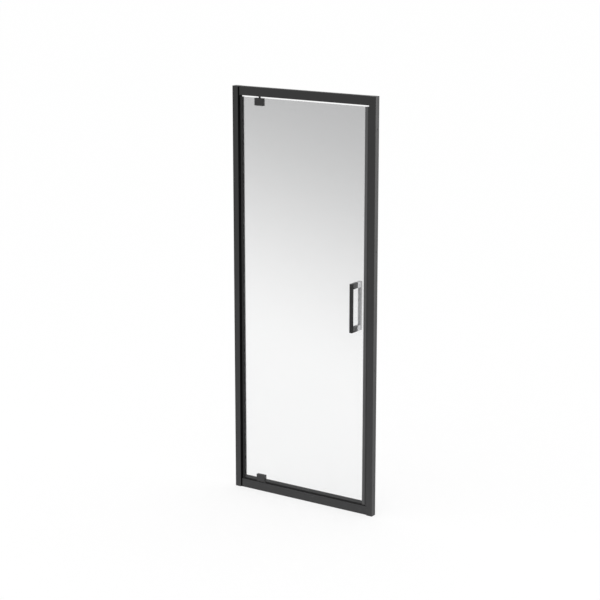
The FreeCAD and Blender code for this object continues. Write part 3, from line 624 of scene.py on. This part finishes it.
def mouldings(grain):
    """Moulded plastics of caps, covers and bushes, and the cast metal of the pivots' inserts."""
    for slot, values in PLASTICS.items():
        textured_material(
            slot, grain, PLASTIC_RELIEF, PLASTIC, Unevenness=PLASTIC_UNEVENNESS, **values
        )
    for slot, values in CASTINGS.items():
        textured_material(slot, grain, CAST_RELIEF, METAL, Unevenness=CAST_UNEVENNESS, **values)


def rubbers(streaks):
    """Extruded soft strips, with faint lines along their length, and the magnets inside them."""
    for slot, values in RUBBERS.items():
        textured_material(
            slot, streaks, RUBBER_RELIEF, {**NON_METAL, "Specular IOR Level": RUBBER_GLOSS[slot]},
            Unevenness=RUBBER_UNEVENNESS, **values,
        )


def steels(streaks):
    """Turned stainless and blackened steel, with lines round the upright and the cross axes."""
    for slot, values in STEELS.items():
        textured_material(
            slot, streaks, STEEL_RELIEF, METAL,
            Lines=TURNED_LINES, Unevenness=STEEL_UNEVENNESS, **values,
        )


def pane(look):
    """Clear glass with a painted reflection that darkens it upwards: foot + (crown - foot) * t^2 *
    (3 - 2t).
    t goes from 0 where z + lean * x is the painted reflection's start to 1 where it is its end."""
    low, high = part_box("glass_panel")
    start = low.z + look.reflection_start * (high.z - low.z)
    end = low.z + look.reflection_end * (high.z - low.z)
    tree, shader, output = new_material("glass")
    set_inputs(shader, {**CLEAR_GLASS, "Transmission Weight": look.clearness})
    where = tree.nodes.new("ShaderNodeTexCoord")
    split = tree.nodes.new("ShaderNodeSeparateXYZ")
    tree.links.new(where.outputs["Object"], split.inputs["Vector"])
    span = {"From Min": start, "From Max": end}
    amount = add_node(tree, "ShaderNodeMapRange", interpolation_type="SMOOTHSTEP", **span)
    lean = add_math(tree, "MULTIPLY", split.outputs["X"], look.reflection_lean)
    tree.links.new(add_math(tree, "ADD", split.outputs["Z"], lean), amount.inputs["Value"])
    # Painted reflection: the glass's own tint at the foot is mixed into a painted darker reflection
    # towards the crown.
    tint = add_node(tree, "ShaderNodeMix", data_type="RGBA")
    tint.inputs[MIX_FIRST].default_value = (*look.foot_tint, 1.0)
    tint.inputs[MIX_SECOND].default_value = (*look.crown_painted_reflection, 1.0)
    tree.links.new(amount.outputs["Result"], tint.inputs["Factor"])
    tree.links.new(tint.outputs[MIX_RESULT], shader.inputs["Base Color"])
    clear = tree.nodes.new("ShaderNodeBsdfTransparent")
    path = tree.nodes.new("ShaderNodeLightPath")
    mix_shaders(
        tree, path.outputs["Is Shadow Ray"], shader.outputs["BSDF"], clear.outputs["BSDF"], output
    )


class SHOWERDOOR_OT_finishes(bpy.types.Operator):
    """Makes the finishes and gives each CAD node the one of its material slot"""

    bl_idname = "shower_door.finishes"
    bl_label = "Finishes"

    def execute(self, context):
        scene = context.scene
        grain = grain_group()
        streaks = streak_group()
        coats(scene.door_coat, grain)
        mouldings(grain)
        rubbers(streaks)
        steels(streaks)
        pane(scene.door_glass)
        for subpart in frame["record"]["subparts"]:
            mesh = frame["nodes"][subpart["node"]].data
            mesh.materials.clear()
            mesh.materials.append(finish(subpart["material_slot"]))
        return {"FINISHED"}


# Soft strips


def mirrored(half):
    """A section (y, z) made of its right half and that half's mirror image."""
    return np.concatenate([half, half[::-1] * np.array([-1.0, 1.0])])


def clip_section(sizes, half_glass, glass_foot, top):
    """Section of the drip seal's clip: a floor, and a skirt with a half-round top on each side."""
    inner = half_glass + sizes.seat
    radius = sizes.skirt / 2
    crest = arc((inner + radius, top - radius), radius, math.pi, 0.0)
    foot = (inner + sizes.skirt, glass_foot - sizes.clip_floor)
    return mirrored(np.concatenate([[(inner, glass_foot - sizes.seat)], crest, [foot]]))


def lip_section(sizes, half_glass, root, low, reach):
    """Section of the drip seal's lips, which stand back under the clip.
    Each is a quadratic curve that hangs first and then flares,
    and thins from its root to its tip."""
    neck = half_glass + sizes.skirt - sizes.lip_step
    hang = root + sizes.lip_sweep * (low - root)
    down = bent_line((neck, root), (neck, hang), (reach, low + sizes.lip_tip))
    inner = neck - sizes.lip_root
    back = bent_line((reach - sizes.lip_tip, low), (inner, hang), (inner, root - sizes.lip_root))
    return mirrored(np.concatenate([down, back]))


class SHOWERDOOR_OT_drip_seals(bpy.types.Operator):
    """Seals along the lower edge of the glass"""

    bl_idname = "shower_door.drip_seals"
    bl_label = "Drip seals"

    def execute(self, context):
        sizes = context.scene.door_seals
        glass_low, glass_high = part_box("glass_panel")
        for node in ("drip_seal_short", "drip_seal_long"):
            low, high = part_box(node)
            clip = clip_section(sizes, glass_high.y, glass_low.z, high.z)
            root = glass_low.z - sizes.clip_floor - sizes.seat
            lips = lip_section(sizes, glass_high.y, root, low.z, high.y)
            # The clip takes the lighter drip seal rubber and the lips the darker seal rubber: this
            # is partly painted shade for the dark line under the seal, on top of the real shade
            # under the set-back lips.
            for part, section, slot in (("clip", clip, "drip_seal"), ("lips", lips, "seal")):
                grids = carried(section, low.x, high.x, "yzx")
                make_piece(f"{node}_{part}", grids, "leaf", slot, [node], capped=True)
        return {"FINISHED"}


class SHOWERDOOR_OT_closing_strips(bpy.types.Operator):
    """Hollow strips with rounded corners round the two magnets"""

    bl_idname = "shower_door.closing_strips"
    bl_label = "Closing strips"

    def execute(self, context):
        sizes = context.scene.door_seals
        for node, body in (("jamb_magnet_seal", "frame"), ("leaf_magnet_seal", "leaf")):
            low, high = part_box(node)
            middle = (low + high) / 2
            half = (high - low) / 2
            centre = np.array([middle.x, middle.y])
            outside = rounded_box(half.x, half.y, sizes.corner) + centre
            inside = rounded_box(half.x - sizes.skin, half.y - sizes.skin, sizes.seat) + centre
            grids = hollow_carried(outside, inside, low.z, high.z, "xyz")
            make_piece(f"{node}_strip", grids, body, "closing_seal", [node], wrap_rows=True)
        return {"FINISHED"}


class SHOWERDOOR_OT_hinge_seal(bpy.types.Operator):
    """Hollow bulb strip along the hinge edge of the leaf"""

    bl_idname = "shower_door.hinge_seal"
    bl_label = "Hinge side seal"

    def execute(self, context):
        sizes = context.scene.door_seals
        low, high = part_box("hinge_side_seal")
        middle = (low + high) / 2
        half = (high - low) / 2
        centre = np.array([middle.x, middle.y])
        outside = rounded_box(half.x, half.y, half.x - sizes.seat) + centre
        bore = half.x - sizes.skin
        inside = rounded_box(bore, half.y - sizes.skin, bore - sizes.seat) + centre
        grids = hollow_carried(outside, inside, low.z, high.z, "xyz")
        make_piece(
            "hinge_side_seal_bulb", grids, "leaf", "seal", ["hinge_side_seal"], wrap_rows=True
        )
        return {"FINISHED"}


def gasket_section(sizes, glass, gasket, side):
    """Section (x, y) of a glazing gasket: a U whose two mouth edges are half-round beads.
    side is 1 where the glass lies towards +X and -1 where it lies towards -X."""
    glass_low, glass_high = glass
    low, high = gasket
    inner = glass_high.y + sizes.seat
    outer = high.y - sizes.seat
    radius = (outer - inner) / 2
    web, mouth = (low.x, high.x) if side > 0 else (high.x, low.x)
    glass_edge = glass_low.x if side > 0 else glass_high.x
    first, last = (math.pi / 2, -math.pi / 2) if side > 0 else (math.pi / 2, 3 * math.pi / 2)
    bead = arc((mouth + side * (sizes.bead - radius), inner + radius), radius, first, last)
    groove = [(glass_edge - side * sizes.seat, inner)]
    half = np.concatenate([[(web + side * sizes.seat, outer)], bead, groove])
    return np.concatenate([half, half[::-1] * np.array([1.0, -1.0])])


class SHOWERDOOR_OT_glazing_gaskets(bpy.types.Operator):
    """Gaskets between the glass and its edge profiles"""

    bl_idname = "shower_door.glazing_gaskets"
    bl_label = "Glazing gaskets"

    def execute(self, context):
        sizes = context.scene.door_seals
        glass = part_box("glass_panel")
        for node, side in (("hinge_glazing_gasket", 1), ("strike_glazing_gasket", -1)):
            low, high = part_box(node)
            section = gasket_section(sizes, glass, (low, high), side)
            grids = carried(section, low.z, high.z, "xyz")
            make_piece(f"{node}_beads", grids, "leaf", "seal", [node], capped=True)
        return {"FINISHED"}


# Small fittings


def bulged(outline, start, end, bulge):
    """An outline carried from start to end along local z with a bulged rim.
    At share t of the way the outline shrinks along its normals
    by bulge * (1 - sqrt(1 - (2t - 1)^2))."""
    share = np.linspace(0, 1, CORNER_STEPS)
    tangent = np.roll(outline, -1, axis=0) - np.roll(outline, 1, axis=0)
    inward = np.stack([-tangent[:, 1], tangent[:, 0]], axis=-1)
    inward /= np.linalg.norm(inward, axis=-1, keepdims=True)
    shrink = bulge * (1 - np.sqrt(1 - (2 * share - 1) ** 2))
    points = outline[None] + inward[None] * shrink[:, None, None]
    level = (start + (end - start) * share)[:, None, None]
    heights = np.broadcast_to(level, (*points.shape[:2], 1))
    return np.concatenate([points, heights], axis=-1)


class SHOWERDOOR_OT_screw_covers(bpy.types.Operator):
    """Domed hollow covers over the screws that lock the jambs"""

    bl_idname = "shower_door.screw_covers"
    bl_label = "Screw covers"

    def execute(self, context):
        sizes = context.scene.door_fittings
        low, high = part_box("lock_screw_covers")
        radius, rim, wall = sizes.cover_radius, sizes.cover_rim, sizes.cover_wall
        dome = high.y - low.y - rim
        lift = np.linspace(0, math.pi / 2, CURVE_STEPS)
        bore = radius - wall
        inner = [
            (rim + (dome - wall) * math.sin(a), bore * math.cos(a), round_outline)
            for a in lift[::-1]
        ]
        outer = [(rim + dome * math.sin(a), radius * math.cos(a), round_outline) for a in lift]
        rims = [(0.0, bore, round_outline), (0.0, radius, round_outline)]
        columns = np.array([low.x + radius, high.x - radius])[:, None]
        rows = np.linspace(low.z + radius, high.z - radius, LOCK_SCREWS)[None, :]
        grids = place(turned(inner + rims + outer), columns, low.y, rows, "xzy")
        make_piece(
            "lock_screw_covers_domed", grids, "frame", "black_plastic", ["lock_screw_covers"]
        )
        return {"FINISHED"}


class SHOWERDOOR_OT_insert_screws(bpy.types.Operator):
    """Pan-head screws with a cross recess that hold the pivot inserts in the rails"""

    bl_idname = "shower_door.insert_screws"
    bl_label = "Insert screws"

    def execute(self, context):
        sizes = context.scene.door_fittings
        low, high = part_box("insert_screws")
        sill_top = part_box("sill_rail")[1].z
        header_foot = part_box("header_rail")[0].z
        radius = (high.y - low.y) / 2
        length = sill_top - low.z
        crown, reach = sizes.pan_height, sizes.cross_reach
        cross = cross_outline(sizes.cross_width / reach)
        floor = crown - sizes.cross_depth
        recess = [(floor, 0.0, cross), (floor, reach, cross), (crown, reach, cross)]
        lift = np.linspace(math.pi / 2, 0, CORNER_STEPS)
        flat = PAN_FLAT * radius
        dome = [
            (crown * math.sin(a), flat + (radius - flat) * math.cos(a), round_outline) for a in lift
        ]
        tip = sizes.shank * TIP_SHARE
        shank = [
            (0.0, sizes.shank, round_outline), (tip - length, sizes.shank, round_outline),
            (-length, tip, round_outline), (-length, 0.0, round_outline),
        ]
        screw = turned(recess + dome + shank)
        columns = np.array([low.x + radius, high.x - radius])
        upright = place(screw, columns, 0.0, sill_top)
        hanging = place(screw * np.array([1.0, 1.0, -1.0]), columns, 0.0, header_foot)
        grids = np.concatenate([upright, hanging])
        make_piece("insert_screws_cross", grids, "frame", "steel", ["insert_screws"])
        return {"FINISHED"}


class SHOWERDOOR_OT_grub_screws(bpy.types.Operator):
    """Grub screws with a key hole in the undersides of the handle posts"""

    bl_idname = "shower_door.grub_screws"
    bl_label = "Grub screws"

    def execute(self, context):
        sizes = context.scene.door_fittings
        low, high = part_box("handle_grub_screws")
        radius, length = (high.x - low.x) / 2, sizes.grub_length
        chamfer, tip = radius * CHAMFER_SHARE, radius * TIP_SHARE
        rings = [
            (sizes.key_depth, 0.0, key_outline), (sizes.key_depth, sizes.key_radius, key_outline),
            (0.0, sizes.key_radius, key_outline), (0.0, radius - chamfer, round_outline),
            (chamfer, radius, round_outline), (length - tip, radius, round_outline),
            (length, tip, round_outline), (length, 0.0, round_outline),
        ]
        sides = np.array([low.y + radius, high.y - radius])[:, None]
        feet = np.array([low.z, high.z - length])[None, :]
        grids = place(turned(rings), (low.x + high.x) / 2, sides, feet)
        make_piece("handle_grub_screws_keyed", grids, "leaf", "dark_steel", ["handle_grub_screws"])
        return {"FINISHED"}


class SHOWERDOOR_OT_handle_pads(bpy.types.Operator):
    """Soft pads with a bulged rim between the handle posts and the glass"""

    bl_idname = "shower_door.handle_pads"
    bl_label = "Handle pads"

    def execute(self, context):
        sizes = context.scene.door_fittings
        low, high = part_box("handle_pads")
        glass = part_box("glass_panel")[1].y
        half_width = (high.x - low.x) / 2
        half_height = sizes.pad_height / 2
        outline = rounded_box(half_width, half_height, sizes.pad_bulge)
        turn = np.arctan2(outline[:, 1], outline[:, 0])
        hole = sizes.pad_hole * np.stack([np.cos(turn), np.sin(turn)], axis=-1)
        start, end = sizes.pad_seat, high.y - glass - sizes.pad_seat
        rim = bulged(outline, start, end, sizes.pad_bulge)
        bore = bulged(hole, end, start, 0.0)
        pad = np.concatenate([rim, bore])
        heights = np.array([low.z + half_height, high.z - half_height])
        middle = (low.x + high.x) / 2
        inside = place(pad, middle, glass, heights, "xzy")
        outside = place(pad * np.array([1.0, 1.0, -1.0]), middle, -glass, heights, "xzy")
        grids = np.concatenate([inside, outside])
        make_piece("handle_pads_soft", grids, "leaf", "seal", ["handle_pads"], wrap_rows=True)
        return {"FINISHED"}


def notched_outline(half_width, depth, notch_half, notch_depth, corner):
    """Plate from z = 0 down to -depth with a round-ended notch from z = 0, as one loop (x, z).
    The notch's end is a half circle of radius notch_half, its centre notch_half above its tip."""
    right = arc((half_width - corner, corner - depth), corner, 0.0, -math.pi / 2)
    left = arc((corner - half_width, corner - depth), corner, -math.pi / 2, -math.pi)
    angle = np.linspace(math.pi, 2 * math.pi, ROUND_STEPS // 2)
    centre = np.array([0.0, notch_half - notch_depth])
    notch = centre + notch_half * np.stack([np.cos(angle), np.sin(angle)], axis=-1)
    start = [(notch_half, 0.0), (half_width, 0.0)]
    return np.concatenate([start, right, left, [(-half_width, 0.0), (-notch_half, 0.0)], notch])


class SHOWERDOOR_OT_pivot_gaskets(bpy.types.Operator):
    """Soft gaskets between the pivots' clamp plates and the glass"""

    bl_idname = "shower_door.pivot_gaskets"
    bl_label = "Pivot gaskets"

    def execute(self, context):
        sizes = context.scene.door_fittings
        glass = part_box("glass_panel")[1].y
        bulge, seat = sizes.pad_bulge, sizes.pad_seat
        for prefix, way in (("top", 1.0), ("bottom", -1.0)):
            node = f"{prefix}_pivot_gaskets"
            low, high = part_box(node)
            outline = notched_outline(
                (high.x - low.x) / 2, high.z - low.z, sizes.notch_half, sizes.notch_depth, bulge
            )
            pad = bulged(outline[::-1], seat, high.y - glass - seat, bulge)
            edge = high.z if way > 0 else low.z
            middle = (low.x + high.x) / 2
            inside = place(pad * np.array([1.0, way, 1.0]), middle, glass, edge, "xzy")
            outside = place(pad * np.array([1.0, way, -1.0]), middle, -glass, edge, "xzy")
            grids = np.concatenate([inside, outside])
            make_piece(f"{node}_soft", grids, "leaf", "seal", [node], capped=True)
        return {"FINISHED"}


# Stage


def seen_rays(tree):
    """1 for rays from the camera, off gloss or through glass, and 0 for the rest of the light."""
    path = tree.nodes.new("ShaderNodeLightPath")
    seen = add_math(tree, "MAXIMUM", path.outputs["Is Camera Ray"], path.outputs["Is Glossy Ray"])
    return add_math(tree, "MAXIMUM", seen, path.outputs["Is Transmission Ray"])


def white_room(look):
    """White to look at, and a soft light from all round."""
    world = bpy.data.worlds.new("white_room")
    world.use_nodes = True
    tree = world.node_tree
    tree.nodes.clear()
    light = add_node(tree, "ShaderNodeBackground", Color=(*WHITE, 1.0), Strength=look.sky)
    shown = add_node(tree, "ShaderNodeBackground", Color=(*WHITE, 1.0), Strength=1.0)
    output = tree.nodes.new("ShaderNodeOutputWorld")
    mix_shaders(
        tree, seen_rays(tree), light.outputs["Background"], shown.outputs["Background"], output
    )
    bpy.context.scene.world = world


def pale_floor(look):
    """A wide floor: a share of it is white to look at and the rest takes the object's shadow."""
    material = bpy.data.materials.new("pale_floor")
    material.use_nodes = True
    tree = material.node_tree
    tree.nodes.clear()
    shaded = add_node(tree, "ShaderNodeBsdfDiffuse", Color=(*look.floor_colour, 1.0))
    white = add_node(tree, "ShaderNodeEmission", Color=(*WHITE, 1.0), Strength=1.0)
    output = tree.nodes.new("ShaderNodeOutputMaterial")
    share = add_math(tree, "MULTIPLY", seen_rays(tree), 1.0 - look.shadow)
    mix_shaders(tree, share, shaded.outputs["BSDF"], white.outputs["Emission"], output)
    half = look.floor_size / 2
    plan = ((-half, -half), (half, -half), (half, half), (-half, half))
    corners = [(x, y, -FLOOR_DROP) for x, y in plan]
    mesh = bpy.data.meshes.new("floor")
    mesh.from_pydata(corners, [], [(0, 1, 2, 3)])
    mesh.materials.append(material)
    floor = bpy.data.objects.new("floor", mesh)
    bpy.context.scene.collection.objects.link(floor)
    return floor


def soft_lamp(name, power, width, where, target):
    """A square soft lamp that looks at a point."""
    lamp = bpy.data.lights.new(name, "AREA")
    lamp.energy = power
    lamp.size = width
    holder = bpy.data.objects.new(name, lamp)
    holder.location = where
    holder.rotation_euler = (Vector(target) - Vector(where)).to_track_quat("-Z", "Y").to_euler()
    holder.visible_camera = False
    bpy.context.scene.collection.objects.link(holder)
    return holder


def keep_off(lamp, *pieces):
    """Keeps a lamp's light off pieces.
    Glass would show it as a bright square, and a floor would show where it ends."""
    skipped = bpy.data.collections.new(f"{lamp.name}_skips")
    for piece in pieces:
        skipped.objects.link(piece)
    for item in skipped.collection_objects:
        item.light_linking.link_state = "EXCLUDE"
    lamp.light_linking.receiver_collection = skipped


def photo_camera(look):
    """A camera that looks back along the way given by its turn and its drop."""
    turn, drop = look.camera_turn, look.camera_drop
    level = math.cos(drop)
    back = Vector((math.sin(turn) * level, -math.cos(turn) * level, math.sin(drop)))
    lens = bpy.data.cameras.new("camera")
    lens.lens = look.camera_lens
    camera = bpy.data.objects.new("camera", lens)
    camera.location = look.camera_place
    camera.rotation_euler = (-back).to_track_quat("-Z", "Y").to_euler()
    bpy.context.scene.collection.objects.link(camera)
    bpy.context.scene.camera = camera


class SHOWERDOOR_OT_stage(bpy.types.Operator):
    """Camera, lamps, white room and pale floor"""

    bl_idname = "shower_door.stage"
    bl_label = "Stage"

    def execute(self, context):
        look = context.scene.door_stage
        context.scene.view_settings.view_transform = "Standard"
        white_room(look)
        floor = pale_floor(look)
        low, high = CAD_BOX
        middle = (Vector(low) + Vector(high)) / 2
        soft_lamp("key_lamp", look.key_lamp, look.key_width, look.key_place, middle)
        side_lamp = soft_lamp(
            "side_lamp", look.side_lamp, look.side_width, look.side_place, middle
        )
        nodes = frame["nodes"]
        keep_off(side_lamp, floor, nodes["glass_panel"], nodes["inner_handle_bar"])
        photo_camera(look)
        return {"FINISHED"}


OPERATORS = (
    SHOWERDOOR_OT_finishes,
    SHOWERDOOR_OT_drip_seals,
    SHOWERDOOR_OT_closing_strips,
    SHOWERDOOR_OT_hinge_seal,
    SHOWERDOOR_OT_glazing_gaskets,
    SHOWERDOOR_OT_screw_covers,
    SHOWERDOOR_OT_insert_screws,
    SHOWERDOOR_OT_grub_screws,
    SHOWERDOOR_OT_handle_pads,
    SHOWERDOOR_OT_pivot_gaskets,
    SHOWERDOOR_OT_stage,
)
GROUPS = {
    "door_seals": SealSizes,
    "door_fittings": FittingSizes,
    "door_coat": CoatLook,
    "door_glass": GlassLook,
    "door_stage": StageLook,
}


class SHOWERDOOR_PT_panel(bpy.types.Panel):
    """Sizes, colours and steps of the shower door"""

    bl_idname = "SHOWERDOOR_PT_panel"
    bl_label = "Shower door"
    bl_space_type = "VIEW_3D"
    bl_region_type = "UI"
    bl_category = "Shower door"

    def draw(self, context):
        for operator in OPERATORS:
            self.layout.operator(operator.bl_idname)
        for label, group in GROUPS.items():
            box = self.layout.box()
            for name in group.__annotations__:
                box.prop(getattr(context.scene, label), name)


def register():
    """Makes the settings, the steps and the panel known."""
    for group in GROUPS.values():
        bpy.utils.register_class(group)
    for operator in OPERATORS:
        bpy.utils.register_class(operator)
    bpy.utils.register_class(SHOWERDOOR_PT_panel)
    for label, group in GROUPS.items():
        setattr(bpy.types.Scene, label, PointerProperty(type=group))


def unregister():
    """Takes back what register made known."""
    for label in GROUPS:
        delattr(bpy.types.Scene, label)
    bpy.utils.unregister_class(SHOWERDOOR_PT_panel)
    for operator in reversed(OPERATORS):
        bpy.utils.unregister_class(operator)
    for group in reversed(GROUPS.values()):
        bpy.utils.unregister_class(group)


def main():
    """Registers the add-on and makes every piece."""
    register()
    for operator in OPERATORS:
        _, step = operator.bl_idname.split(".")
        getattr(bpy.ops.shower_door, step)()


if __name__ == "__main__":
    main()
